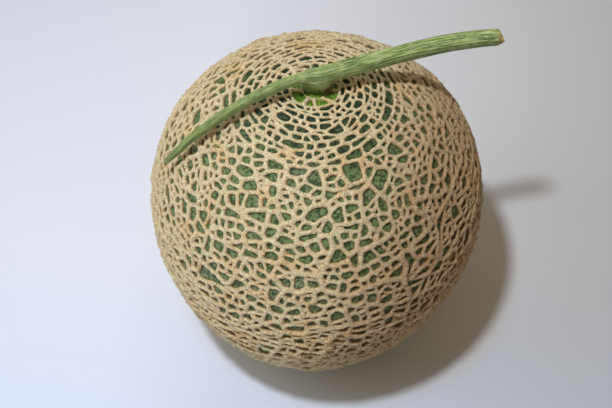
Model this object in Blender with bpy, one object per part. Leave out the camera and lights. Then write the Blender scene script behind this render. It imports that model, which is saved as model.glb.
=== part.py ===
"""Netted musk melon with its T-shaped piece of vine.

Frame: metres, +Z up. The origin is the centre of the small flat spot that the fruit rests on.
+X points along the vine towards its thick cut end, and -Y is the fruit's front.
The fruit is one solid whose surface runs over the crests of the corky net, because the net is
part of the rind. The vine and the short stalk are one grown piece, held a hair above the crown.
"""

import math

import bmesh
import bpy
from mathutils import Vector

# Driving dimensions
FRUIT_RADIUS = 0.0700                   # at the equator, over the crests of the net
FRUIT_STRETCH = (0.985, 1.005, 1.010)   # a melon is a little uneven in width, depth and height
REST_RADIUS = 0.018                     # of the flat spot under the fruit
FRUIT_SEGMENTS = 56
FRUIT_RINGS = 32

CROWN_DIP = 0.0022                      # depth of the hollow that the stalk grows from
CROWN_DIP_REACH = 0.019                 # from the stalk's middle to the hollow's edge
STALK_GAP = 0.0006                      # from the hollow's lowest point to the stalk's foot

VINE_RADIUS = 0.0033                    # of the thick arm
STALK_FOOT_RADIUS = 0.0050
STALK_NECK_RADIUS = 0.0046

# Broad swellings of the fruit: the way each one faces, its height and its tightness
SWELLINGS = (
    ((-0.71, 0.55, 0.45), 0.0020, 3.0),
    ((0.68, 0.53, 0.50), 0.0016, 7.0),
    ((0.74, -0.55, -0.40), -0.0028, 3.0),
    ((1.00, 0.00, 0.05), 0.0006, 4.0),
    ((0.00, -0.78, -0.63), 0.0010, 4.0),
    ((-0.94, 0.27, 0.21), 0.0008, 5.0),
)

# The vine's middle line above the fruit's middle, from the thin end to the thick one, in
# fruit radii, with the vine's thickness at each point as a share of VINE_RADIUS
VINE_LINE = (
    ((-0.868, -0.226, 0.610), 0.32),
    ((-0.783, -0.228, 0.715), 0.43),
    ((-0.665, -0.203, 0.834), 0.53),
    ((-0.450, -0.155, 0.990), 0.60),
    ((-0.241, -0.098, 1.080), 0.63),
    ((-0.100, -0.056, 1.108), 0.68),
    ((-0.009, -0.043, 1.116), 0.94),
    ((0.110, -0.003, 1.118), 1.03),
    ((0.386, 0.099, 1.122), 1.02),
    ((0.666, 0.214, 1.101), 1.02),
    ((0.868, 0.266, 1.094), 1.00),
    ((1.018, 0.285, 1.092), 0.98),
)
STALK_FOOT = (-0.029, 0.008)
STALK_TOP = (-0.012, -0.046, 1.105)


def clear_scene():
    for old in list(bpy.data.objects):
        bpy.data.objects.remove(old, do_unlink=True)
    for group in (bpy.data.meshes, bpy.data.curves, bpy.data.materials):
        for old in list(group):
            group.remove(old)


def new_collection(name):
    collection = bpy.data.collections.new(name)
    bpy.context.scene.collection.children.link(collection)
    return collection


def new_material(name, colour, roughness):
    material = bpy.data.materials.new(name)
    material.use_nodes = True
    shader = material.node_tree.nodes["Principled BSDF"]
    shader.inputs["Base Color"].default_value = (*colour, 1.0)
    shader.inputs["Roughness"].default_value = roughness
    shader.inputs["Metallic"].default_value = 0.0
    return material


def finish_object(name, mesh, material, collection, sharp_angle):
    mesh.materials.append(material)
    mesh.shade_smooth()
    mesh.set_sharp_from_angle(angle=math.radians(sharp_angle))
    piece = bpy.data.objects.new(name, mesh)
    collection.objects.link(piece)
    return piece


# The fruit


def fruit_middle_height():
    """Height at which a sphere cut to the rest spot stands on it."""
    return math.sqrt(FRUIT_RADIUS ** 2 - REST_RADIUS ** 2)


def fruit_point(direction):
    """The point of the fruit's surface that lies in one direction from its middle."""
    radius = FRUIT_RADIUS
    for towards, height, tightness in SWELLINGS:
        facing = max(0.0, direction.dot(Vector(towards).normalized()))
        radius += height * facing ** tightness
    from_crown = FRUIT_RADIUS * math.acos(max(-1.0, min(1.0, direction.z)))
    if from_crown < CROWN_DIP_REACH:
        radius -= CROWN_DIP * 0.5 * (1.0 + math.cos(math.pi * from_crown / CROWN_DIP_REACH))
    stretched = Vector(a * b for a, b in zip(direction * radius, FRUIT_STRETCH))
    return stretched + Vector((0.0, 0.0, fruit_middle_height()))


def make_fruit(material, collection):
    """A round body with a hollow at the crown, flat where it rests."""
    body = bmesh.new()
    bmesh.ops.create_uvsphere(
        body, u_segments=FRUIT_SEGMENTS, v_segments=FRUIT_RINGS, radius=1.0
    )
    for vert in body.verts:
        vert.co = fruit_point(vert.co.normalized())
    everything = body.verts[:] + body.edges[:] + body.faces[:]
    bmesh.ops.bisect_plane(
        body, geom=everything, plane_co=(0, 0, 0), plane_no=(0, 0, 1), clear_inner=True, dist=1e-7
    )
    rim = [edge for edge in body.edges if edge.is_boundary]
    bmesh.ops.contextual_create(body, geom=rim)
    bmesh.ops.recalc_face_normals(body, faces=body.faces)
    mesh = bpy.data.meshes.new("melon_fruit")
    body.to_mesh(mesh)
    body.free()
    return finish_object("melon_fruit", mesh, material, collection, sharp_angle=12)


# The vine and its stalk


def make_tube(name, points, radii, collection):
    """A round bar along a smooth line through the points, as a welded mesh."""
    curve = bpy.data.curves.new(name, "CURVE")
    curve.dimensions = "3D"
    curve.resolution_u = 4
    curve.bevel_depth = 1.0
    curve.bevel_resolution = 4
    curve.use_fill_caps = True
    spline = curve.splines.new("BEZIER")
    spline.bezier_points.add(len(points) - 1)
    for knot, place, radius in zip(spline.bezier_points, points, radii):
        knot.co = place
        knot.radius = radius
        knot.handle_left_type = "AUTO"
        knot.handle_right_type = "AUTO"
    line = bpy.data.objects.new(name, curve)
    collection.objects.link(line)
    bpy.context.view_layer.update()
    graph = bpy.context.evaluated_depsgraph_get()
    mesh = bpy.data.meshes.new_from_object(line.evaluated_get(graph))
    shape = bmesh.new()
    shape.from_mesh(mesh)
    bmesh.ops.remove_doubles(shape, verts=shape.verts, dist=1e-6)
    bmesh.ops.recalc_face_normals(shape, faces=shape.faces)
    shape.to_mesh(mesh)
    shape.free()
    tube = bpy.data.objects.new(name, mesh)
    tube.matrix_world = line.matrix_world
    collection.objects.link(tube)
    bpy.data.objects.remove(line, do_unlink=True)
    return tube


def make_vine(material, collection, cutters):
    """The cut piece of vine, with the short flared stalk that joins it to the crown."""
    middle = Vector((0.0, 0.0, fruit_middle_height()))
    line = [middle + FRUIT_RADIUS * Vector(place) for place, share in VINE_LINE]
    vine = make_tube("vine_bar", line, [VINE_RADIUS * share for place, share in VINE_LINE], collection)

    crown = fruit_point(Vector((0.0, 0.0, 1.0)))
    foot = Vector((*STALK_FOOT, 0.0)) * FRUIT_RADIUS + Vector((0.0, 0.0, crown.z + STALK_GAP))
    top = middle + FRUIT_RADIUS * Vector(STALK_TOP)
    neck = foot + Vector((0.0, 0.0, 0.3 * (top.z - foot.z)))
    route = (foot, neck, foot.lerp(top, 0.7), top)
    radii = (STALK_FOOT_RADIUS, STALK_NECK_RADIUS, STALK_NECK_RADIUS * 1.05, STALK_NECK_RADIUS * 0.75)
    stalk = make_tube("stalk", route, radii, cutters)
    stalk.hide_render = True
    stalk.display_type = "WIRE"

    union = vine.modifiers.new("stalk", "BOOLEAN")
    union.operation = "UNION"
    union.solver = "EXACT"
    union.object = stalk
    bpy.context.view_layer.update()
    graph = bpy.context.evaluated_depsgraph_get()
    mesh = bpy.data.meshes.new_from_object(vine.evaluated_get(graph))
    bpy.data.objects.remove(vine, do_unlink=True)
    return finish_object("vine_stem", mesh, material, collection, sharp_angle=40)


clear_scene()
melon = new_collection("netted_melon")
cutters = new_collection("cutters")
make_fruit(new_material("netted_rind", (0.60, 0.47, 0.28), 0.8), melon)
make_vine(new_material("green_vine", (0.20, 0.31, 0.10), 0.55), melon, cutters)
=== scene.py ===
import math

import bmesh
import bpy
import numpy as np
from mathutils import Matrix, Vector


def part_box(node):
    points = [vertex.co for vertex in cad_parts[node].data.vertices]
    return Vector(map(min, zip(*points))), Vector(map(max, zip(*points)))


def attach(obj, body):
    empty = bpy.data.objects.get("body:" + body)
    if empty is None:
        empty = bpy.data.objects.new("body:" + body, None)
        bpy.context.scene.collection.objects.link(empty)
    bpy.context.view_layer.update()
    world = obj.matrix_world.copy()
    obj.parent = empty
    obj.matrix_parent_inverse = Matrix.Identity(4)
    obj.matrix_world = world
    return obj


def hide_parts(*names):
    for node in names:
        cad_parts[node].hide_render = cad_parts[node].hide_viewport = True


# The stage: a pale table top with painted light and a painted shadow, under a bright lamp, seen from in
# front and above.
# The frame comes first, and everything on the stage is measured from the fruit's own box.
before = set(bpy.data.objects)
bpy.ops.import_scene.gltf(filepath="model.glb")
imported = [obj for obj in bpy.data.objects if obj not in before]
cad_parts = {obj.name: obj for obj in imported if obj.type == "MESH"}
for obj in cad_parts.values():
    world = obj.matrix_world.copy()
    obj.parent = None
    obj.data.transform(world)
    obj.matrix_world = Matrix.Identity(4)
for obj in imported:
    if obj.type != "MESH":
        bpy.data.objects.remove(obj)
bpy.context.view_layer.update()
fruit_low, fruit_high = (Vector(corner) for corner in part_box("melon_fruit"))
fruit_middle = Vector((0.0, 0.0, 0.5 * (fruit_low.z + fruit_high.z) - 0.001))
fruit_radius = 0.5 * (fruit_high.y - fruit_low.y)


def add_node(material, kind, **settings):
    node = material.node_tree.nodes.new(kind)
    for label, value in settings.items():
        setattr(node, label, value)
    return node


def object_place(material):
    return add_node(material, "ShaderNodeTexCoord").outputs["Object"]


def measure(material, operation, place, other):
    """The dot product of a place with a direction, or its distance from a point."""
    node = add_node(material, "ShaderNodeVectorMath", operation=operation)
    node.inputs[1].default_value = other
    material.node_tree.links.new(place, node.inputs[0])
    return node.outputs["Value"]


def fade(material, source, low, high, way="SMOOTHSTEP"):
    """0 where the source is at low, rising to 1 where it is at high."""
    limits = add_node(material, "ShaderNodeMapRange", interpolation_type=way)
    limits.inputs["From Min"].default_value = low
    limits.inputs["From Max"].default_value = high
    material.node_tree.links.new(source, limits.inputs["Value"])
    return limits.outputs["Result"]


def colour_ramp(material, source, stops):
    """Colours along a factor: stops are position and linear colour."""
    ramp = add_node(material, "ShaderNodeValToRGB")
    elements = ramp.color_ramp.elements
    while len(elements) < len(stops):
        elements.new(0.5)
    for element, (position, colour) in zip(elements, stops):
        element.position = position
        element.color = (*colour, 1.0)
    material.node_tree.links.new(source, ramp.inputs["Fac"])
    return ramp.outputs["Color"]


def blend(material, factor, one, two, kind="MIX"):
    """Mix two colours; each may be a socket or a plain colour."""
    mix = add_node(material, "ShaderNodeMix", data_type="RGBA", blend_type=kind)
    for socket, value in ((mix.inputs["Factor"], factor), (mix.inputs["A"], one), (mix.inputs["B"], two)):
        if isinstance(value, tuple):
            socket.default_value = (*value, 1.0)
        elif isinstance(value, float):
            socket.default_value = value
        else:
            material.node_tree.links.new(value, socket)
    return mix.outputs["Result"]


def tint(material, factor, tone, colour):
    """The tone, multiplied by a colour as far as the factor goes."""
    return blend(material, factor, tone, colour, "MULTIPLY")


def new_skin(name, specular):
    skin = bpy.data.materials.new(name)
    skin.use_nodes = True
    shader = skin.node_tree.nodes["Principled BSDF"]
    shader.inputs["Specular IOR Level"].default_value = specular
    return skin, shader, skin.node_tree.links


def make_floor():
    """A wide sheet of smooth white board with painted light: paler and bluer on the window side, greyer
    to the right and bluer towards the front, with a warm painted shadow under the fruit.
    """
    bpy.ops.mesh.primitive_plane_add(size=6.0, location=(0.0, 0.0, 0.0))
    floor = bpy.context.active_object
    floor.name = "table_top"
    board, shader, links = new_skin("white_board_painted_light", 0.5)
    shader.inputs["Roughness"].default_value = 0.55
    place = object_place(board)
    # Painted light: paler and bluer on the window side, falling off to grey on the right.
    across = measure(board, "DOT_PRODUCT", place, (1.0, -0.20, 0.0))
    tone = colour_ramp(board, fade(board, across, -0.22, 0.22, "LINEAR"), (
        (0.00, (0.725, 0.765, 0.890)), (0.30, (0.800, 0.835, 0.950)),
        (0.78, (0.555, 0.562, 0.588)), (1.00, (0.465, 0.475, 0.520))))
    # Painted light: a little bluer towards the front.
    depth = measure(board, "DOT_PRODUCT", place, (0.0, 1.0, 0.0))
    tone = tint(board, fade(board, depth, 0.03, -0.06, "LINEAR"), tone, (0.88, 0.93, 1.01))
    # Painted shadow: a warm brown tint over the patch where the fruit's shadow falls, standing in for
    # light thrown back from the fruit.
    from_painted_shadow = measure(board, "DISTANCE", place, (0.015, 0.019, 0.0))
    tone = tint(board, fade(board, from_painted_shadow, 0.086, 0.070), tone, (0.94, 0.87, 0.74))
    links.new(tone, shader.inputs["Base Color"])
    floor.data.materials.append(board)


def aim(thing, place, target):
    thing.location = place
    thing.rotation_euler = (Vector(target) - Vector(place)).to_track_quat("-Z", "Y").to_euler()


camera_distance = 0.5
camera_height = math.radians(51.0)


def make_camera():
    """Half a metre away, looking down at the fruit, level from side to side."""
    camera = bpy.data.objects.new("camera", bpy.data.cameras.new("camera"))
    bpy.context.scene.collection.objects.link(camera)
    camera.data.sensor_width = 36.0
    camera.data.lens = 69.0
    camera.data.clip_start = 0.01
    target = fruit_middle + Vector((-0.0053, -0.0008, -0.0007))
    away = Vector((0.0, -math.cos(camera_height), math.sin(camera_height)))
    aim(camera, target + camera_distance * away, target)
    bpy.context.scene.camera = camera


def make_lamp(name, place, size, power, colour):
    lamp = bpy.data.lights.new(name, "AREA")
    lamp.shape = "DISK"
    lamp.size = size
    lamp.energy = power
    lamp.color = colour
    thing = bpy.data.objects.new(name, lamp)
    bpy.context.scene.collection.objects.link(thing)
    aim(thing, place, fruit_middle)


make_floor()
make_camera()
make_lamp("key_lamp", (-0.215, -0.25, 1.0), 0.080, 6.75, (0.91, 0.955, 1.0))
make_lamp("window_fill", (-0.80, -0.15, 0.62), 0.7, 2.3, (0.85, 0.93, 1.0))
sky = bpy.data.worlds.new("room_light")
sky.use_nodes = True
sky.node_tree.nodes["Background"].inputs["Color"].default_value = (1.0, 0.86, 0.68, 1.0)
sky.node_tree.nodes["Background"].inputs["Strength"].default_value = 0.345
bpy.context.scene.world = sky
bpy.context.scene.view_settings.view_transform = "Standard"


# The fruit's surface: a round body grown a little unevenly, with a hollow at the crown and a
# small flat spot underneath. Its even shape is read off the frame's solid, as the smooth
# function of direction that best fits the solid's corners.
rest_radius = 0.018
hollow_depth = 0.0022
hollow_reach = 0.019
shape_degree = 5


def unit(vectors):
    """One vector or a table of them, made one long."""
    if vectors.ndim == 1:
        return vectors / np.linalg.norm(vectors)
    return vectors / np.linalg.norm(vectors, axis=1)[:, None]


def direction_powers(directions):
    x, y, z = directions.T
    columns = []
    for i in range(shape_degree + 1):
        for j in range(shape_degree + 1 - i):
            for k in range(shape_degree + 1 - i - j):
                if k < 2:
                    columns.append(x ** i * y ** j * z ** k)
    return np.stack(columns, axis=1)


def hollow(directions):
    """How far the crown's hollow drops the surface, by distance from the crown."""
    reach = fruit_radius * np.arccos(np.clip(directions[:, 2], -1.0, 1.0))
    inside = reach < hollow_reach
    return np.where(inside, 0.5 * hollow_depth * (1.0 + np.cos(np.pi * reach / hollow_reach)), 0.0)


def read_points(mesh, kind="co"):
    values = np.empty(len(mesh.vertices) * 3)
    mesh.vertices.foreach_get(kind, values)
    return values.reshape(-1, 3)


def fit_shape():
    corners = read_points(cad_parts["melon_fruit"].data)
    arms = corners[corners[:, 2] > 0.0002] - np.array(fruit_middle)
    lengths = np.linalg.norm(arms, axis=1)
    directions = arms / lengths[:, None]
    target = lengths + hollow(directions)
    weights, *_ = np.linalg.lstsq(direction_powers(directions), target, rcond=None)
    return weights


shape_weights = fit_shape()


def surface(directions, lift=0.0):
    """Points of the fruit's surface in the given directions, raised by lift."""
    length = direction_powers(directions) @ shape_weights - hollow(directions) + lift
    return directions * length[:, None] + np.array(fruit_middle)


# The net: a corky web that closes the cracks of the growing rind. Cracks open one after another,
# so each cord butts onto older, wider ones. It is laid out by splitting the cells between cords
# over and over, and each cell then gets its own window with sloping, rounded cork banks.
rind_depth = 0.00095            # rind below the crests of ordinary cords
lime_reach = 0.0096             # radius of the pale green disc round the stalk
foot_reach = 0.0046             # inner ring of the disc, hidden under the stalk's foot
scar_reach = 0.0060             # corky blossom scar underneath
crown_rings_reach = 0.036       # cords run round the stalk as far as this
cord_step = 0.00125             # between the points of a cord
cord_wander = 0.072             # how far a cord strays, as a share of its length
corner_snap = 0.00032           # a cord that would end this near a corner ends on it
net_random = np.random.default_rng(41)
crown_axis = np.array((-0.027, -0.017, 1.0)) / math.hypot(0.027, 0.017, 1.0)


def cell_size(reach):
    """Height and width that a cell grows to, by its distance from the crown."""
    stops = (0.0, 0.012, 0.022, 0.035, 0.055, 0.090, 0.130, 0.170, 0.230)
    heights = (0.0031, 0.0031, 0.0032, 0.0038, 0.0043, 0.0045, 0.0043, 0.0042, 0.0039)
    widths = (0.0058, 0.0058, 0.0056, 0.0052, 0.0050, 0.0053, 0.0055, 0.0050, 0.0045)
    return np.interp(reach, stops, heights), np.interp(reach, stops, widths)


def facing(fall, turn):
    """The direction at an angle down from the crown and a turn round it."""
    return np.array((math.sin(fall) * math.cos(turn), math.sin(fall) * math.sin(turn), math.cos(fall)))


def fall_of(direction):
    return math.acos(max(-1.0, min(1.0, direction[2])))


def edge_of(one, two):
    return min(one, two), max(one, two)


def loop_edges(loop):
    return [edge_of(one, two) for one, two in zip(loop, loop[1:] + loop[:1])]


class Net:
    """Cells on the sphere of directions, sharing their corners and edges."""

    def __init__(self):
        self.corners = []
        self.cells = {}
        self.edge_cells = {}
        self.edge_width = {}
        self.joints = set()

    def add_corner(self, direction):
        self.corners.append(direction)
        return len(self.corners) - 1

    def add_cell(self, loop):
        name = len(self.cells)
        self.cells[name] = loop
        for edge in loop_edges(loop):
            self.edge_cells.setdefault(edge, set()).add(name)
        return name

    def split_edge(self, start, end, share):
        """Put a new corner part way along an edge, in both of the cells beside it."""
        middle = (1.0 - share) * self.corners[start] + share * self.corners[end]
        corner = self.add_corner(unit(middle))
        old = edge_of(start, end)
        for name in self.edge_cells[old]:
            loop = self.cells[name]
            place = loop.index(start)
            if loop[(place + 1) % len(loop)] == end:
                loop.insert(place + 1, corner)
            else:
                loop.insert(place, corner)
        for other in (start, end):
            new = edge_of(other, corner)
            self.edge_cells[new] = set(self.edge_cells[old])
            self.edge_width[new] = self.edge_width[old]
        del self.edge_cells[old], self.edge_width[old]
        return corner

    def lay_cord(self, name, first, path, last, width):
        """Divide one cell by a cord that runs from its corner first to its corner last."""
        loop = self.cells[name]
        a, b = loop.index(first), loop.index(last)
        turned = loop[a:] + loop[:a]
        cut = (b - a) % len(loop)
        inner = [self.add_corner(direction) for direction in path]
        one_side = turned[: cut + 1] + inner[::-1]
        other_side = turned[cut:] + [first] + inner
        chain = [first] + inner + [last]
        for start, end in zip(chain, chain[1:]):
            edge = edge_of(start, end)
            self.edge_cells[edge] = {name}
            self.edge_width[edge] = width * math.exp(net_random.normal(0.0, 0.07))
        self.joints |= {first, last}
        for edge in loop_edges(turned[cut:] + [first])[:-1]:
            self.edge_cells[edge].discard(name)
        self.cells[name] = one_side
        return name, self.add_cell(other_side)


def unroll(directions, centre):
    """Directions laid flat round a centre, in metres: across the fruit, then towards the crown."""
    across, up = tangents(centre)
    along = np.clip(directions @ centre, -1.0, 1.0)
    angle = np.arccos(along)
    side = directions - along[:, None] * centre
    size = np.maximum(np.linalg.norm(side, axis=1), 1e-12)
    flat = np.stack((side @ across, side @ up), axis=1) / size[:, None]
    return flat * (angle * fruit_radius)[:, None]


def roll_back(flat, centre):
    across, up = tangents(centre)
    reach = np.linalg.norm(flat, axis=1)
    angle = reach / fruit_radius
    share = np.sin(angle) / np.maximum(reach, 1e-12)
    side = flat[:, :1] * across + flat[:, 1:] * up
    return np.cos(angle)[:, None] * centre + side * share[:, None]


def tangents(centre):
    across = np.array((-centre[1], centre[0], 0.0))
    size = np.linalg.norm(across)
    across = across / size if size > 1e-9 else np.array((1.0, 0.0, 0.0))
    return across, np.cross(centre, across)


def polygon_moments(points):
    """Area, middle and spread of a flat polygon."""
    after = np.roll(points, -1, axis=0)
    cross = points[:, 0] * after[:, 1] - after[:, 0] * points[:, 1]
    area = 0.5 * cross.sum()
    middle = ((points + after) * cross[:, None]).sum(axis=0) / (6.0 * area)
    near, far = points - middle, after - middle
    turn = near[:, 0] * far[:, 1] - far[:, 0] * near[:, 1]
    spread = np.zeros((2, 2))
    for i in range(2):
        for j in range(2):
            pair = (2 * near[:, i] * near[:, j] + 2 * far[:, i] * far[:, j]
                    + near[:, i] * far[:, j] + far[:, i] * near[:, j])
            spread[i, j] = (pair * turn).sum() / 24.0
    return area, middle, spread / area


def cord_width(size, reach):
    """Older cords, which crossed larger cells, are wider; those near the crown are finer."""
    width = 0.00076 + 0.00040 * math.log(size / 0.0011)
    width *= np.interp(reach, (0.0, 0.020, 0.045, 0.110, 0.150), (0.80, 0.88, 1.08, 1.12, 1.18))
    return float(np.clip(width, 0.0008, 0.0021) * np.exp(net_random.normal(0.0, 0.13)))


def square_to(heading):
    return np.array((-heading[1], heading[0]))


def crossing(flat, start, heading):
    """Where a straight line through start leaves the polygon, ahead and behind."""
    after = np.roll(flat, -1, axis=0)
    side = square_to(heading)
    near, far = (flat - start) @ side, (after - start) @ side
    places = np.nonzero(near * far < 0.0)[0]
    shares = near[places] / (near[places] - far[places])
    hits = flat[places] + shares[:, None] * (after - flat)[places]
    ahead = (hits - start) @ heading
    if not (ahead > 0).any() or not (ahead < 0).any():
        return None
    front = np.argmin(np.where(ahead > 0, ahead, np.inf))
    back = np.argmax(np.where(ahead < 0, ahead, -np.inf))
    return [(int(places[k]), float(shares[k])) for k in (back, front)]


def steps_between(count):
    """Even shares of the way from one end to the other, without the ends."""
    return (np.arange(count) + 1.0) / (count + 1.0)


def cord_route(begin, finish, begin_wall, finish_wall):
    """Flat points of a cord that leaves one wall squarely, wanders and meets the other squarely."""
    chord = finish - begin
    length = np.linalg.norm(chord)
    heading = chord / length

    def leaving(wall, bend):
        square = square_to(wall)
        square *= np.sign(square @ heading) or 1.0
        return unit((1.0 - bend) * heading + bend * square)

    count = max(0 if length < 0.0011 else 1, round(length / cord_step) - 1)
    t = steps_between(count)[:, None]
    start_pull, end_pull = leaving(begin_wall, 0.55) * length, leaving(finish_wall, 0.55) * length
    points = ((2 * t ** 3 - 3 * t ** 2 + 1) * begin + (t ** 3 - 2 * t ** 2 + t) * start_pull
              + (3 * t ** 2 - 2 * t ** 3) * finish + (t ** 3 - t ** 2) * end_pull)
    side = square_to(heading)
    sway = 0.0
    for waves in (1, 2, 3):
        sway = sway + net_random.normal(0.0, cord_wander / waves) * np.sin(math.pi * waves * t)
    jog = net_random.normal(0.0, 0.00009, (count, 1))
    return points + (sway * length + jog) * side


def far_apart(loop, one, two):
    """Whether a cord between two of a cell's corners leaves something on both sides."""
    gap = abs(loop.index(one) - loop.index(two))
    return 2 <= gap <= len(loop) - 2


def crack(net, name):
    """Split a cell across its long side, unless it has become small enough."""
    loop = net.cells[name]
    directions = np.array([net.corners[corner] for corner in loop])
    centre = unit(directions.mean(axis=0))
    flat = unroll(directions, centre)
    walls = np.roll(flat, -1, axis=0) - flat
    reach = fruit_radius * fall_of(centre)
    height, width = cell_size(reach)
    scale = np.array((width, height))
    area, middle, spread = polygon_moments(flat / scale)
    if area < net_random.lognormal(0.20, 0.45):
        return None
    sizes, axes = np.linalg.eigh(spread)
    best, ends = -1.0, None
    joints = np.array([corner in net.joints for corner in loop])
    for _ in range(5):
        long_axis = axes[:, 1]
        if sizes[1] < 1.35 * sizes[0]:
            turn = net_random.uniform(0.0, math.pi)
            long_axis = np.array((math.cos(turn), math.sin(turn)))
        reaches = (flat / scale - middle) @ long_axis
        offset = net_random.uniform(-0.13, 0.13) * (reaches.max() - reaches.min())
        heading = unit(square_to(long_axis) * scale)
        turn = net_random.normal(0.0, 0.22)
        heading = np.array((heading[0] * math.cos(turn) - heading[1] * math.sin(turn),
                            heading[0] * math.sin(turn) + heading[1] * math.cos(turn)))
        hits = crossing(flat, (middle + offset * long_axis) * scale, heading)
        if hits is None:
            continue
        merit = 1.0
        for place, share in hits:
            wall = walls[place]
            square = abs(wall[0] * heading[1] - wall[1] * heading[0]) / np.linalg.norm(wall)
            hit = flat[place] + share * wall
            clear = np.linalg.norm(flat[joints] - hit, axis=1).min(initial=0.0012)
            merit *= square * min(1.0, 0.15 + clear / 0.0012)
        if merit > best:
            best, ends = merit, hits
    if ends is None:
        return None
    headings, corners = [], []
    for place, share in ends:
        one, two = loop[place], loop[(place + 1) % len(loop)]
        wall_length = np.linalg.norm(walls[place])
        headings.append(walls[place] / wall_length)
        if min(share, 1.0 - share) * wall_length < corner_snap:
            corners.append((one if share < 0.5 else two, None, None))
        else:
            corners.append((None, (one, two), share))
    fixed = [corner for corner, edge, share in corners if corner is not None]
    if len(fixed) == 2 and not far_apart(loop, *fixed):
        return None
    knots = [corner if corner is not None else net.split_edge(*edge, share)
             for corner, edge, share in corners]
    loop = net.cells[name]
    if not far_apart(loop, *knots):
        return None
    begin, finish = unroll(np.array([net.corners[knot] for knot in knots]), centre)
    size = math.sqrt(abs(polygon_moments(flat)[0]))
    route = cord_route(begin, finish, *headings)
    path = roll_back(route, centre) if len(route) else []
    return net.lay_cord(name, knots[0], list(path), knots[1], cord_width(size, reach))


def ring(net, reach, count, wobble):
    """Corners round the crown's axis, at a wavering distance from the crown."""
    waves = net_random.normal(0.0, wobble, 6)
    phases = net_random.uniform(0.0, 2.0 * math.pi, 6)
    corners = []
    for k in range(count):
        turn = 2.0 * math.pi * k / count
        sway = sum(wave * math.sin((m + 2) * turn + phase)
                   for m, (wave, phase) in enumerate(zip(waves, phases)))
        fall = (reach + sway + 0.3 * wobble * net_random.normal()) / fruit_radius
        corners.append(net.add_corner(facing(fall, turn)))
    return corners


def meridian(net, top, bottom, sway):
    """The corners of a long cord that wanders from one corner down to another."""
    one, two = net.corners[top], net.corners[bottom]
    turn_one, turn_two = math.atan2(one[1], one[0]), math.atan2(two[1], two[0])
    turn_two += 2.0 * math.pi * round((turn_one - turn_two) / (2.0 * math.pi))
    fall_one, fall_two = math.acos(one[2]), math.acos(two[2])
    count = round((fall_two - fall_one) * fruit_radius / cord_step) - 1
    waves = net_random.normal(0.0, sway, 5)
    corners = []
    for t in steps_between(count):
        fall = fall_one + t * (fall_two - fall_one)
        turn = turn_one + t * (turn_two - turn_one)
        turn += sum(wave * math.sin(math.pi * (m + 1) * t) / (m + 1) for m, wave in enumerate(waves))
        corners.append(net.add_corner(facing(fall, turn)))
    return corners


def link(net, chain, width):
    for start, end in zip(chain, chain[1:]):
        net.edge_width[edge_of(start, end)] = width * math.exp(net_random.normal(0.0, 0.10))


def ladder(net, inner, outer, rungs, width):
    """Cells between two rings, parted by short cords that run away from the crown."""
    places, taken = [], (-1, -1)
    start = net_random.uniform(0.0, 1.0)
    for k in range(rungs):
        share = (k + start + net_random.uniform(-0.28, 0.28)) / rungs
        near = max(taken[0] + 1, round(share * len(inner)))
        far = max(taken[1] + 1, round(share * len(outer)))
        taken = (near, far)
        places.append(taken)
    paths = []
    for near, far in places:
        first, last = inner[near % len(inner)], outer[far % len(outer)]
        one, two = net.corners[first], net.corners[last]
        count = max(1, round(np.linalg.norm(two - one) * fruit_radius / cord_step) - 1)
        path = []
        for t in steps_between(count):
            middle = (1.0 - t) * one + t * two + net_random.normal(0.0, 0.0022, 3)
            path.append(net.add_corner(unit(middle)))
        paths.append(path)
        link(net, [first] + path + [last], width)
        net.joints |= {first, last}
    names = []
    for k in range(rungs):
        after = (k + 1) % rungs
        stop = places[after] if after else (places[0][0] + len(inner), places[0][1] + len(outer))
        near = [inner[m % len(inner)] for m in range(places[k][0], stop[0] + 1)]
        far = [outer[m % len(outer)] for m in range(places[k][1], stop[1] + 1)]
        names.append(net.add_cell(near[:1] + paths[k] + far + paths[after][::-1] + near[:0:-1]))
    return names


def seed_net():
    """The oldest cords: rings round the stalk, then long slanting ones down to the blossom scar."""
    net = Net()
    waiting = []
    strips = 7
    rings = [ring(net, foot_reach, 27, 0.0)]
    link(net, rings[0] + rings[0][:1], 0.0006)
    net.add_cell(rings[0])
    reach, gap = lime_reach, 0.0022
    while reach < crown_rings_reach:
        count = round(2.0 * math.pi * reach / cord_step)
        rings.append(ring(net, reach, count, 0.00008 if reach == lime_reach else 0.00030))
        thick = float(np.interp(reach, (lime_reach, 0.022, 0.034), (0.0011, 0.00125, 0.0016)))
        link(net, rings[-1] + rings[-1][:1], thick)
        if reach == lime_reach:
            ladder(net, rings[-2], rings[-1], 9, 0.0016)
        else:
            spacing = float(np.interp(reach, (0.018, 0.028), (0.0056, 0.0084)))
            waiting += ladder(net, rings[-2], rings[-1], round(2.0 * math.pi * reach / spacing), 0.00115)
        reach += gap
        gap *= 1.055
    scar = ring(net, math.pi * fruit_radius - scar_reach, strips * 4, 0.0003)
    link(net, scar + scar[:1], 0.0016)
    last = rings[-1]
    tops = [round(len(last) * (k + 0.3) / strips) for k in range(strips)]
    strip_paths = []
    for k in range(strips):
        bottom = scar[(4 * k + 3) % len(scar)]
        strip_paths.append(meridian(net, last[tops[k]], bottom, 0.13))
        link(net, [last[tops[k]]] + strip_paths[k] + [bottom], 0.0018)
    for k in range(strips):
        after = (k + 1) % strips
        stop = tops[after] if tops[after] > tops[k] else tops[after] + len(last)
        upper = [last[m % len(last)] for m in range(tops[k], stop + 1)]
        lower = [scar[(4 * k + 3 + m) % len(scar)] for m in range(5)]
        waiting.append(net.add_cell(
            [upper[0]] + strip_paths[k] + lower + strip_paths[after][::-1] + upper[:0:-1]))
    net.add_cell(scar[::-1])
    return net, waiting


def grow_net():
    net, waiting = seed_net()
    while waiting:
        halves = crack(net, waiting.pop())
        if halves:
            waiting.extend(halves)
    pull_taut(net, 7)
    lean(net)
    return net


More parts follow.
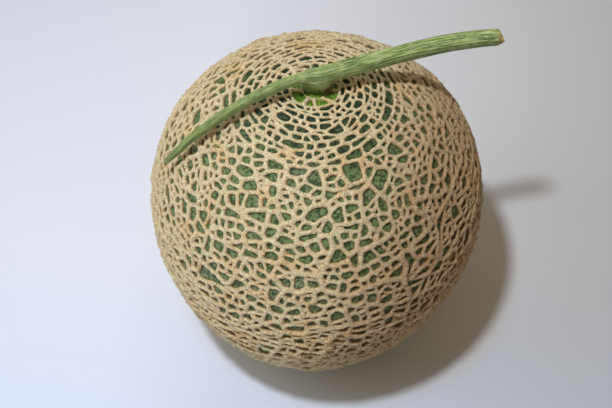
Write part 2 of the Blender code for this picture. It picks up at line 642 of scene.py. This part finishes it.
def pull_taut(net, rounds):
    """Let the cords tighten, so that square joints turn three-way and the cells round off."""
    corners = np.array(net.corners)
    edges = np.array(list(net.edge_width))
    pull = np.array([net.edge_width[one, two] for one, two in edges]) ** 1.5
    reach = fruit_radius * np.arccos(np.clip(corners[:, 2], -1.0, 1.0))
    free = (reach > lime_reach + 0.0002) & (reach < math.pi * fruit_radius - scar_reach - 0.0004)
    give = np.interp(reach, (0.014, 0.028, 0.045), (0.05, 0.18, 0.50))[:, None]
    for _ in range(rounds):
        total, weight = np.zeros_like(corners), np.zeros(len(corners))
        for here, there in ((0, 1), (1, 0)):
            np.add.at(total, edges[:, here], pull[:, None] * corners[edges[:, there]])
            np.add.at(weight, edges[:, here], pull)
        moved = (1.0 - give) * corners + give * total / weight[:, None]
        corners[free] = unit(moved)[free]
    corners[free] += net_random.normal(0.0, 0.0011, (int(free.sum()), 3))
    net.corners = list(unit(corners))


def lean(net):
    """Turn the whole net so that its rings circle the stalk."""
    across = unit(np.cross((0.0, 1.0, 0.0), crown_axis))
    turned = np.array((across, np.cross(crown_axis, across), crown_axis))
    net.corners = list(np.array(net.corners) @ turned)


def wall_room(points, flat, half_widths):
    """How far each point is from the banks of a cell's walls."""
    after = np.roll(flat, -1, axis=0)
    along = after - flat
    arm = points[:, None, :] - flat
    share = (arm * along).sum(axis=2) / (along ** 2).sum(axis=1)
    nearest = arm - np.clip(share, 0.0, 1.0)[:, :, None] * along
    return (np.sqrt((nearest ** 2).sum(axis=2)) - half_widths).min(axis=1)


def is_inside(points, flat):
    after = np.roll(flat, -1, axis=0)
    rise = after[:, 1] - flat[:, 1]
    rise = np.where(np.abs(rise) < 1e-12, 1e-12, rise)
    spans = (flat[:, 1] > points[:, 1:]) != (after[:, 1] > points[:, 1:])
    hit = flat[:, 0] + (points[:, 1:] - flat[:, 1]) * (after[:, 0] - flat[:, 0]) / rise
    return (spans & (points[:, :1] < hit)).sum(axis=1) % 2 == 1


def widest_place(flat, half_widths):
    """The point of a cell that has the most room round it."""
    low, high = flat.min(axis=0), flat.max(axis=0)
    best, room = 0.5 * (low + high), -1.0
    reach = 0.5 * (high - low)
    for tries in (9, 5, 5):
        steps = np.linspace(-1.0, 1.0, tries)
        points = best + np.stack(np.meshgrid(steps, steps), axis=-1).reshape(-1, 2) * reach
        rooms = np.where(is_inside(points, flat), wall_room(points, flat, half_widths), -1.0)
        pick = rooms.argmax()
        if rooms[pick] > room:
            best, room = points[pick], rooms[pick]
        reach = reach / 3.0
    return best, room


window_least = 0.00010          # a smaller opening closes up with cork
march = np.linspace(0.0, 1.0, 26)


def open_window(flat, half_widths):
    """Middle of the window and its share of the way out to each of the cell's corners."""
    middle, room = widest_place(flat, half_widths)
    arms = flat - middle
    if room < window_least:
        return middle, None
    points = middle + march[None, :, None] * arms[:, None, :]
    rooms = wall_room(points.reshape(-1, 2), flat, half_widths).reshape(len(flat), -1)
    blocked = rooms < 0.0
    blocked[:, -1] = True
    first = np.maximum(blocked.argmax(axis=1), 1)
    rows = np.arange(len(flat))
    near, far = rooms[rows, first - 1], np.minimum(rooms[rows, first], -1e-9)
    shares = march[first - 1] + (march[1] - march[0]) * near / (near - far)
    sizes = shares * np.linalg.norm(arms, axis=1)
    evened = 0.25 * np.roll(sizes, 1) + 0.5 * sizes + 0.25 * np.roll(sizes, -1)
    sizes = np.minimum(sizes, evened)
    return middle, np.clip(sizes / np.linalg.norm(arms, axis=1), 0.06, 0.93)


bank_rings = ((0.48, 0.93), (0.86, 0.58), (1.00, -0.16))   # way down the bank, height left
underside = -0.00045


def build_cells(net):
    """Every cell's flat middle, window and crest, ready to be turned into banks of cork."""
    corners = np.array(net.corners)
    crest = np.zeros(len(corners))
    for (a, b), width in net.edge_width.items():
        height = 0.00016 + 0.60 * width
        crest[a], crest[b] = max(crest[a], height), max(crest[b], height)
    crest *= 1.0 + net_random.normal(0.0, 0.11, len(crest))
    built = []
    for name, loop in net.cells.items():
        directions = corners[loop]
        centre = unit(directions.mean(axis=0))
        flat = unroll(directions, centre)
        half_widths = 0.5 * np.array([net.edge_width[edge] for edge in loop_edges(loop)])
        middle, shares = open_window(flat, half_widths)
        built.append((name, loop, centre, flat, middle, shares))
    return corners, crest, built


def rest_flat(points, lift):
    """Press the fruit's underside onto the rest spot without losing the relief."""
    floor = np.maximum(0.0, rind_depth - lift)
    points[:, 2] = np.maximum(points[:, 2], floor)
    return points


def new_piece(name, points, faces):
    mesh = bpy.data.meshes.new(name)
    mesh.from_pydata(np.array(points).tolist(), [], faces)
    piece = bpy.data.objects.new(name, mesh)
    bpy.context.scene.collection.objects.link(piece)
    return piece


def strip(outer, inner):
    """Four-sided faces between two loops of corners."""
    return [(outer[k - 1], outer[k], inner[k], inner[k - 1]) for k in range(len(outer))]


def net_mesh(name, net, parts, corners, crest):
    """One closed mesh of cork for the given cells."""
    used = sorted({corner for part in parts for corner in part[1]})
    index = {corner: k for k, corner in enumerate(used)}
    used = np.array(used)
    directions = [corners[used], corners[used]]
    lifts = [crest[used], np.full(len(used), underside)]
    tops = [np.ones(len(used)), np.zeros(len(used))]
    count = 2 * len(used)
    faces = []
    members = {part[0] for part in parts}
    for _, loop, centre, flat, middle, shares in parts:
        size = len(loop)
        upper = [index[corner] for corner in loop]
        lower = [k + len(used) for k in upper]
        height = crest[loop]
        outer = upper
        closed = shares is None
        for way, left in bank_rings[:1] if closed else bank_rings:
            keep = np.full(size, 0.45) if closed else 1.0 - way * (1.0 - shares)
            points = middle + keep[:, None] * (flat - middle)
            directions.append(roll_back(points, centre))
            lifts.append(height * left if left > 0 else np.full(size, left * 0.001))
            tops.append(np.full(size, max(left, 0.0)))
            inner = list(range(count, count + size))
            count += size
            faces += strip(outer, inner)
            outer = inner
        if closed:
            directions.append(roll_back(np.stack((middle, middle)), centre))
            lifts.append(np.array((0.80 * height.mean(), underside)))
            tops.append(np.array((0.75, 0.0)))
            faces += [(outer[k - 1], outer[k], count) for k in range(size)]
            faces += [(lower[k], lower[k - 1], count + 1) for k in range(size)]
            count += 2
        else:
            faces += strip(outer, lower)
        for k in range(size):
            if not net.edge_cells[edge_of(loop[k - 1], loop[k])] <= members:
                faces.append((upper[k], upper[k - 1], lower[k - 1], lower[k]))
    directions, lifts = np.concatenate(directions), np.concatenate(lifts)
    points = rest_flat(surface(directions, lifts - rind_depth), lifts)
    piece = new_piece(name, points, faces)
    # The crest share also drives the cork's painted shade at the foot of the banks.
    heights = piece.data.attributes.new("crest", "FLOAT", "POINT")
    heights.data.foreach_set("value", np.concatenate(tops))
    piece.data.shade_smooth()
    piece.data.set_sharp_from_angle(angle=math.radians(75))
    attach(piece, "root")
    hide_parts("melon_fruit")
    return piece


def grain_group():
    """Fine grain that several skins share: a height for bump and a mask for colour."""
    group = bpy.data.node_groups.new("fine_grain", "ShaderNodeTree")
    for label, default in (("Scale", 1800.0), ("Cracks", 0.5)):
        socket = group.interface.new_socket(name=label, in_out="INPUT", socket_type="NodeSocketFloat")
        socket.default_value = default
    group.interface.new_socket(name="Height", in_out="OUTPUT", socket_type="NodeSocketFloat")
    group.interface.new_socket(name="Mask", in_out="OUTPUT", socket_type="NodeSocketFloat")
    nodes, links = group.nodes, group.links
    ask, give = nodes.new("NodeGroupInput"), nodes.new("NodeGroupOutput")
    place = nodes.new("ShaderNodeTexCoord")
    noise = nodes.new("ShaderNodeTexNoise")
    noise.inputs["Detail"].default_value = 4.0
    noise.inputs["Roughness"].default_value = 0.62
    cells = nodes.new("ShaderNodeTexVoronoi")
    cells.feature = "DISTANCE_TO_EDGE"
    edges = nodes.new("ShaderNodeMapRange")
    edges.inputs["From Max"].default_value = 0.16
    deep = nodes.new("ShaderNodeMath")
    deep.operation = "MULTIPLY_ADD"
    links.new(place.outputs["Object"], noise.inputs["Vector"])
    links.new(place.outputs["Object"], cells.inputs["Vector"])
    links.new(ask.outputs["Scale"], noise.inputs["Scale"])
    links.new(ask.outputs["Scale"], cells.inputs["Scale"])
    links.new(cells.outputs["Distance"], edges.inputs["Value"])
    links.new(edges.outputs["Result"], deep.inputs[0])
    links.new(ask.outputs["Cracks"], deep.inputs[1])
    links.new(noise.outputs["Fac"], deep.inputs[2])
    links.new(deep.outputs["Value"], give.inputs["Height"])
    links.new(noise.outputs["Fac"], give.inputs["Mask"])
    return group


grain = grain_group()


def noise_mask(material, scale, detail, low, high, stretch=None, source=None):
    """Soft patches between 0 and 1 where noise lies between low and high."""
    links = material.node_tree.links
    noise = add_node(material, "ShaderNodeTexNoise")
    noise.inputs["Scale"].default_value = scale
    noise.inputs["Detail"].default_value = detail
    place = source or object_place(material)
    if stretch:
        mapping = add_node(material, "ShaderNodeMapping")
        mapping.inputs["Scale"].default_value = stretch
        links.new(place, mapping.inputs["Vector"])
        place = mapping.outputs["Vector"]
    links.new(place, noise.inputs["Vector"])
    return fade(material, noise.outputs["Fac"], low, high)


def attribute(material, label):
    return add_node(material, "ShaderNodeAttribute", attribute_name=label).outputs["Fac"]


def add_bump(material, height, strength, distance, under=None):
    bump = add_node(material, "ShaderNodeBump")
    bump.inputs["Strength"].default_value = strength
    bump.inputs["Distance"].default_value = distance
    material.node_tree.links.new(height, bump.inputs["Height"])
    if under:
        material.node_tree.links.new(under, bump.inputs["Normal"])
    return bump.outputs["Normal"]


def add_grain(material, scale, cracks):
    node = add_node(material, "ShaderNodeGroup", node_tree=grain)
    node.inputs["Scale"].default_value = scale
    node.inputs["Cracks"].default_value = cracks
    return node.outputs["Height"], node.outputs["Mask"]


def vary_roughness(material, shader, mask, low, high):
    rough = add_node(material, "ShaderNodeMapRange")
    rough.inputs["To Min"].default_value = low
    rough.inputs["To Max"].default_value = high
    material.node_tree.links.new(mask, rough.inputs["Value"])
    material.node_tree.links.new(rough.outputs["Result"], shader.inputs["Roughness"])


def painted_shade_side(material):
    """A mask for painted shade: 0 over the crown, rising to 1 low on the right flank, away from the
    lamps.
    """
    return fade(material, measure(material, "DOT_PRODUCT", object_place(material), (1.0, -0.28, -0.16)),
                -0.008, 0.042)


def cork_material():
    """Dry, matte cork: cream on the crests and browner down the banks, with painted shade deepening at
    the foot of each bank and on the right flank; freckled and finely cracked.
    """
    cork, shader, links = new_skin("net_cork", 0.22)
    # From the foot of each bank (0) to the crest (1): the cork's own cream and brown, with painted shade
    # darkening towards the foot.
    tone = colour_ramp(cork, attribute(cork, "crest"), (
        (0.00, (0.10, 0.065, 0.030)), (0.34, (0.43, 0.315, 0.160)),
        (0.58, (0.77, 0.630, 0.365)), (1.00, (0.89, 0.765, 0.500))))
    rust = noise_mask(cork, 90.0, 6.0, 0.48, 0.76)
    tone = tint(cork, rust, tone, (1.00, 0.86, 0.68))
    pale = noise_mask(cork, 620.0, 2.0, 0.52, 0.72)
    tone = tint(cork, pale, tone, (1.12, 1.14, 1.19))
    pink = noise_mask(cork, 900.0, 2.0, 0.56, 0.70, (1.0, 1.0, 1.3))
    tone = tint(cork, pink, tone, (1.00, 0.80, 0.66))
    height, mask = add_grain(cork, 1500.0, 0.55)
    freckle = colour_ramp(cork, mask, ((0.34, (0.52, 0.47, 0.41)), (0.53, (1.0, 1.0, 1.0))))
    tone = tint(cork, 1.0, tone, freckle)
    # Painted shade: the cork darker and browner on the right flank.
    tone = tint(cork, painted_shade_side(cork), tone, (0.67, 0.58, 0.53))
    links.new(tone, shader.inputs["Base Color"])
    vary_roughness(cork, shader, mask, 0.95, 0.70)
    links.new(add_bump(cork, height, 0.90, 0.00045), shader.inputs["Normal"])
    return cork


net = grow_net()
corners, crest, built = build_cells(net)
cork = cork_material()
bands = (("net_crown", 0.0, 48.0), ("net_shoulder", 48.0, 82.0),
         ("net_flank", 82.0, 118.0), ("net_base", 118.0, 181.0))
for name, top, bottom in bands:          # in degrees down from the crown
    parts = [part for part in built if part[0] != 0 and top <= math.degrees(fall_of(part[2])) < bottom]
    net_mesh(name, net, parts, corners, crest).data.materials.append(cork)


# The green rind that shows in the net's windows.
def rind_material():
    """Green rind: lime round the stalk, blue-black in the crown's shade, mottled green elsewhere, with
    painted shade on the right flank.
    """
    skin, shader, links = new_skin("green_rind", 0.16)
    shader.inputs["Roughness"].default_value = 0.58
    centred = add_node(skin, "ShaderNodeVectorMath", operation="SUBTRACT")
    centred.inputs[1].default_value = tuple(fruit_middle)
    outward = add_node(skin, "ShaderNodeVectorMath", operation="NORMALIZE")
    angle = add_node(skin, "ShaderNodeMath", operation="ARCCOSINE")
    links.new(object_place(skin), centred.inputs[0])
    links.new(centred.outputs["Vector"], outward.inputs[0])
    links.new(measure(skin, "DOT_PRODUCT", outward.outputs["Vector"], tuple(crown_axis)), angle.inputs[0])
    fall = add_node(skin, "ShaderNodeMath", operation="DIVIDE")
    fall.inputs[1].default_value = math.pi
    links.new(angle.outputs["Value"], fall.inputs[0])
    lime_edge = lime_reach / fruit_radius / math.pi
    deep = colour_ramp(skin, fall.outputs["Value"], (
        (0.0, (0.035, 0.110, 0.008)), (lime_edge, (0.035, 0.110, 0.008)),
        (lime_edge + 0.001, (0.008, 0.017, 0.010)), (0.12, (0.007, 0.015, 0.009)),
        (0.20, (0.036, 0.062, 0.024)), (0.45, (0.048, 0.076, 0.034))))
    light = colour_ramp(skin, fall.outputs["Value"], (
        (0.0, (0.200, 0.320, 0.040)), (lime_edge, (0.170, 0.285, 0.034)),
        (lime_edge + 0.001, (0.014, 0.028, 0.019)), (0.12, (0.062, 0.100, 0.036)),
        (0.20, (0.165, 0.240, 0.095)), (0.45, (0.195, 0.255, 0.125))))
    tone = blend(skin, noise_mask(skin, 760.0, 4.0, 0.36, 0.62), deep, light)
    tone = tint(skin, noise_mask(skin, 45.0, 2.0, 0.50, 0.66), tone, (1.40, 1.22, 1.55))
    fleck = noise_mask(skin, 1150.0, 1.0, 0.70, 0.78)
    tone = blend(skin, fleck, tone, (0.34, 0.38, 0.30))
    # Painted shade: the rind darker on the right flank.
    tone = tint(skin, painted_shade_side(skin), tone, (0.78, 0.68, 0.60))
    height = add_grain(skin, 1100.0, 0.25)[0]
    links.new(tone, shader.inputs["Base Color"])
    links.new(add_bump(skin, height, 0.6, 0.00022), shader.inputs["Normal"])
    return skin


def make_rind():
    bpy.ops.object.select_all(action="DESELECT")
    bpy.ops.mesh.primitive_ico_sphere_add(subdivisions=7, radius=1.0)
    rind = bpy.context.active_object
    rind.name = "rind"
    directions = unit(read_points(rind.data))
    points = rest_flat(surface(directions, -rind_depth), 0.0)
    rind.data.vertices.foreach_set("co", points.ravel())
    rind.data.shade_smooth()
    rind.data.materials.append(rind_material())
    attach(rind, "root")
    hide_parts("melon_fruit")


make_rind()


# The vine: a cut length of green, five-angled shoot with the short stalk that it feeds the fruit
# through. Bar and stalk are skinned as one body, so that they flow together, and the ribs are
# then raised along them. Both ends are cut across with a knife, and the thick one has dried.
line_unit = 0.0700              # metres to one unit of the vine's line
vine_middle = Vector((0.0, 0.0, math.sqrt(line_unit ** 2 - rest_radius ** 2)))
vine_line = (
    ((-0.868, -0.226, 0.610), 0.32), ((-0.783, -0.228, 0.715), 0.43),
    ((-0.665, -0.203, 0.834), 0.53), ((-0.450, -0.155, 0.990), 0.60),
    ((-0.241, -0.098, 1.080), 0.63), ((-0.100, -0.056, 1.108), 0.68),
    ((-0.009, -0.043, 1.116), 0.94), ((0.110, -0.003, 1.118), 1.03),
    ((0.386, 0.099, 1.122), 1.02), ((0.666, 0.214, 1.101), 1.02),
    ((0.868, 0.266, 1.094), 1.00), ((1.018, 0.285, 1.092), 0.98),
)
vine_radius = 0.0033
joint_reach = 0.0095            # round the joint, the skin is smoothed as far as this
joint_fade = 0.0035
rib_start = math.radians(58.0)  # turn of the first angle from straight up


def smooth_line(knots, per_span):
    """Points of a smooth curve through the knots; every column of a knot is carried along."""
    knots = np.array(knots)
    padded = np.vstack((2 * knots[0] - knots[1], knots, 2 * knots[-1] - knots[-2]))
    rows = []
    for k in range(len(knots) - 1):
        a, b, c, d = padded[k : k + 4]
        for m in range(per_span):
            t = m / per_span
            rows.append(0.5 * (2 * b + (c - a) * t + (2 * a - 5 * b + 4 * c - d) * t ** 2
                               + (3 * b - a - 3 * c + d) * t ** 3))
    rows.append(knots[-1])
    return np.array(rows)


def tube(name, rows, around, squash=(1.0, 1.0)):
    """A capped tube through rows of x, y, z, radius."""
    places, radii = rows[:, :3], rows[:, 3]
    heading = unit(np.gradient(places, axis=0))
    up = np.array((0.0, 0.0, 1.0)) if abs(heading[0, 2]) < 0.95 else np.array((0.0, 1.0, 0.0))
    points = []
    for place, radius, ahead in zip(places, radii, heading):
        side = unit(np.cross(ahead, up))
        top = np.cross(side, ahead)
        for k in range(around):
            turn = 2.0 * math.pi * k / around
            points.append(place + radius * (squash[0] * math.cos(turn) * side
                                            + squash[1] * math.sin(turn) * top))
    faces = []
    for ring_start in range(0, len(points) - around, around):
        for k in range(around):
            after = (k + 1) % around
            faces.append((ring_start + k, ring_start + around + k,
                          ring_start + around + after, ring_start + after))
    faces.append(tuple(range(around)))
    faces.append(tuple(reversed(range(len(points) - around, len(points)))))
    piece = new_piece(name, points, faces)
    shape = bmesh.new()
    shape.from_mesh(piece.data)
    bmesh.ops.recalc_face_normals(shape, faces=shape.faces)
    shape.to_mesh(piece.data)
    shape.free()
    return piece


def select(*pieces):
    bpy.ops.object.select_all(action="DESELECT")
    for piece in pieces:
        piece.select_set(True)
    bpy.context.view_layer.objects.active = pieces[0]


def apply_modifier(piece, kind, **settings):
    modifier = piece.modifiers.new(kind, kind)
    for label, value in settings.items():
        setattr(modifier, label, value)
    select(piece)
    bpy.ops.object.modifier_apply(modifier=modifier.name)


def vine_body():
    """Bar and stalk in one smooth skin."""
    middle = np.array(vine_middle)
    bar_rows = smooth_line([(*(middle + line_unit * np.array(place)), vine_radius * share)
                            for place, share in vine_line], 16)
    bar = tube("vine_stem", bar_rows, 40)
    crown_height = surface(np.array(((0.0, 0.0, 1.0),)))[0, 2]
    node = middle + line_unit * np.array((-0.012, -0.046, 1.105))

    def raised(*rows):
        return [(x, y, crown_height + z, radius) for x, y, z, radius in rows]

    knots = raised(
        (-0.0022, 0.0014, -0.0012, 0.0048), (-0.0022, 0.0013, 0.0004, 0.0045),
        (-0.0021, 0.0009, 0.0018, 0.0045), (-0.0018, 0.0001, 0.0036, 0.0047),
        (-0.0013, -0.0010, 0.0058, 0.0050))
    knots += [(-0.0006, node[1] + 0.0004, node[2] - 0.0014, 0.0047),
              (0.0000, node[1] + 0.0002, node[2] + 0.0008, 0.0030)]
    stalk = tube("stalk", smooth_line(knots, 6), 40, squash=(1.14, 0.80))
    foot = tube("foot", smooth_line(raised(
        (0.0004, -0.0008, 0.0008, 0.0026), (0.0026, -0.0009, 0.0014, 0.0024),
        (0.0042, -0.0008, 0.0020, 0.0018), (0.0052, -0.0006, 0.0024, 0.0010)), 6), 24)
    scar = tube("leaf_scar", smooth_line(raised(
        (-0.0044, -0.0020, 0.0044, 0.0008), (-0.0060, -0.0022, 0.0044, 0.0011),
        (-0.0072, -0.0023, 0.0038, 0.0007)), 6), 16)
    select(bar, stalk, foot, scar)
    bpy.ops.object.join()
    apply_modifier(bar, "REMESH", mode="VOXEL", voxel_size=0.00028, adaptivity=0.0)
    return bar, bar_rows, node


def soften_joint(body, node):
    """Smooth the skin where the stalk runs into the bar."""
    points = read_points(body.data)
    away = np.linalg.norm((points - node + np.array((0.0, 0.0, 0.0015))) * (1.0, 1.0, 0.9), axis=1)
    weights = np.clip((joint_reach - away) / joint_fade, 0.0, 1.0)
    group = body.vertex_groups.new(name="joint")
    for k in np.nonzero(weights > 0.0)[0]:
        group.add([int(k)], float(weights[k]), "REPLACE")
    apply_modifier(body, "SMOOTH", factor=0.5, iterations=60, vertex_group="joint")
    apply_modifier(body, "SMOOTH", factor=0.5, iterations=3)


def along_and_around(points, rows):
    """For each point the share of the way along the bar, and its turn round it from straight up."""
    nearest = np.empty(len(points), int)
    for start in range(0, len(points), 4000):
        part = points[start : start + 4000]
        gaps = ((part[:, None, :] - rows[None, :, :3]) ** 2).sum(axis=2)
        nearest[start : start + 4000] = gaps.argmin(axis=1)
    ahead = unit(np.gradient(rows[:, :3], axis=0))[nearest]
    side = unit(np.cross(ahead, (0.0, 0.0, 1.0)))
    top = np.cross(side, ahead)
    arm = points - rows[nearest, :3]
    lengths = np.concatenate(((0.0,), np.cumsum(np.linalg.norm(np.diff(rows[:, :3], axis=0), axis=1))))
    along = lengths[nearest] + (arm * ahead).sum(axis=1)
    around = np.arctan2((arm * side).sum(axis=1), (arm * top).sum(axis=1))
    return along, around, rows[nearest, 3], lengths[-1]


def raise_ribs(body, rows, node):
    """Five angles with flatter sides between them, and fine ribs that wander along the shoot."""
    points = read_points(body.data)
    normals = read_points(body.data, "normal")
    along, around, radius, length = along_and_around(points, rows)
    turn = around - rib_start + 0.25 * np.sin(along / 0.035)
    fifth = 2.0 * math.pi / 5.0
    part = np.abs((turn % fifth) - 0.5 * fifth) / (0.5 * fifth)
    angled = 0.110 * part ** 2.6 - 0.035
    fine = np.zeros(len(points))
    for count, size, phase in ((13, 0.010, 0.4), (21, 0.009, 2.1), (34, 0.006, 4.4)):
        fine += size * np.sin(count * around + phase + 1.3 * np.sin(along / 0.013 + phase))
    lumps = 0.012 * np.sin(along / 0.0047 + 1.1) * np.sin(along / 0.0113 + 2.0 * around)
    on_stalk = np.clip((node[2] - 0.0010 - points[:, 2]) / 0.0030, 0.0, 1.0)
    on_stalk *= np.linalg.norm(points[:, :2] - node[:2], axis=1) < 0.0105
    swing = np.arctan2(points[:, 1] + 0.001, points[:, 0] + 0.0008)
    stalk_ribs = 0.020 * np.sin(11 * swing + 0.6) + 0.012 * np.sin(23 * swing)
    lift = radius * ((1.0 - on_stalk) * (angled + fine + lumps) + on_stalk * stalk_ribs)
    points += normals * lift[:, None]
    body.data.vertices.foreach_set("co", points.ravel())
    ends = np.minimum(along, length - along)
    for label, values in (("along", along / length), ("ridge", np.clip(part, 0.0, 1.0)),
                          ("stalk", on_stalk), ("around", around), ("end", ends)):
        body.data.attributes.new(label, "FLOAT", "POINT").data.foreach_set("value", values)


def cut_end(body, place, outward, rim, sink):
    """Slice one end off across the shoot, and let the pith sink a little inside the cut."""
    select(body)
    bpy.ops.object.mode_set(mode="EDIT")
    bpy.ops.mesh.select_all(action="SELECT")
    bpy.ops.mesh.bisect(plane_co=place, plane_no=outward, use_fill=True, clear_outer=True, threshold=1e-6)
    for drop in (sink, 0.5 * sink):
        bpy.ops.mesh.inset(thickness=rim, use_even_offset=False)
        bpy.ops.transform.translate(value=tuple(-drop * Vector(outward).normalized()))
    bpy.ops.object.mode_set(mode="OBJECT")


def vine_material():
    """Waxy green skin: paler along the ribs, greyer below, brown where the knife has been."""
    green, shader, links = new_skin("vine_skin", 0.35)
    along, around = attribute(green, "along"), attribute(green, "around")
    place = add_node(green, "ShaderNodeCombineXYZ")
    links.new(along, place.inputs["X"])
    links.new(around, place.inputs["Y"])
    streak = noise_mask(green, 1.0, 4.0, 0.40, 0.62, (13.0, 5.5, 1.0), place.outputs["Vector"])
    thread = noise_mask(green, 1.0, 3.0, 0.51, 0.64, (32.0, 13.0, 1.0), place.outputs["Vector"])
    tone = blend(green, streak, (0.090, 0.150, 0.040), (0.305, 0.400, 0.145))
    tone = tint(green, attribute(green, "ridge"), tone, (1.25, 1.18, 1.05))
    tone = blend(green, thread, tone, (0.50, 0.56, 0.30))
    tone = tint(green, fade(green, along, 0.62, 0.25, "LINEAR"), tone, (0.77, 0.77, 0.68))
    stalk = attribute(green, "stalk")
    tone = blend(green, stalk, tone, blend(green, 0.80, tone, (0.33, 0.40, 0.17)))
    tone = tint(green, noise_mask(green, 700.0, 4.0, 0.42, 0.66), tone, (0.80, 0.86, 0.78))
    # A dark brown patch low at the front right of the stalk, just above the fruit.
    from_foot_patch = measure(green, "DISTANCE", object_place(green), (0.0040, -0.0032, fruit_high.z + 0.0006))
    tone = blend(green, fade(green, from_foot_patch, 0.0042, 0.0014), tone, (0.115, 0.075, 0.022))
    end = fade(green, attribute(green, "end"), 0.0046, 0.0008)
    thick = add_node(green, "ShaderNodeMath", operation="GREATER_THAN")
    thick.inputs[1].default_value = 0.5
    links.new(along, thick.inputs[0])
    dry = add_node(green, "ShaderNodeMath", operation="MULTIPLY")
    links.new(end, dry.inputs[0])
    links.new(thick.outputs["Value"], dry.inputs[1])
    crumbs = noise_mask(green, 900.0, 3.0, 0.35, 0.65)
    crust = blend(green, crumbs, (0.16, 0.085, 0.025), (0.46, 0.32, 0.12))
    tone = blend(green, dry.outputs["Value"], tone, crust)
    links.new(tone, shader.inputs["Base Color"])
    height, mask = add_grain(green, 2600.0, 0.0)
    vary_roughness(green, shader, mask, 0.62, 0.42)
    fibres = add_bump(green, streak, 0.35, 0.00018)
    links.new(add_bump(green, height, 0.4, 0.00012, fibres), shader.inputs["Normal"])
    return green


vine, vine_rows, vine_node = vine_body()
soften_joint(vine, vine_node)
raise_ribs(vine, vine_rows, vine_node)
thick_end, thin_end = vine_rows[-1, :3], vine_rows[0, :3]
cut_end(vine, thick_end - np.array((0.0012, 0.0, 0.0)), (1.0, 0.35, 0.30), 0.0005, 0.0003)
cut_end(vine, thick_end + np.array((-0.0030, -0.0029, -0.0024)), (0.42, -0.62, -0.50), 0.0003, 0.0001)
cut_end(vine, thin_end + np.array((0.0006, 0.0, 0.0006)), (-0.9, 0.25, -0.1), 0.0002, 0.0001)
vine.data.shade_smooth()
vine.data.set_sharp_from_angle(angle=math.radians(50))
vine.data.materials.clear()
vine.data.materials.append(vine_material())
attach(vine, "root")
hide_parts("vine_stem")
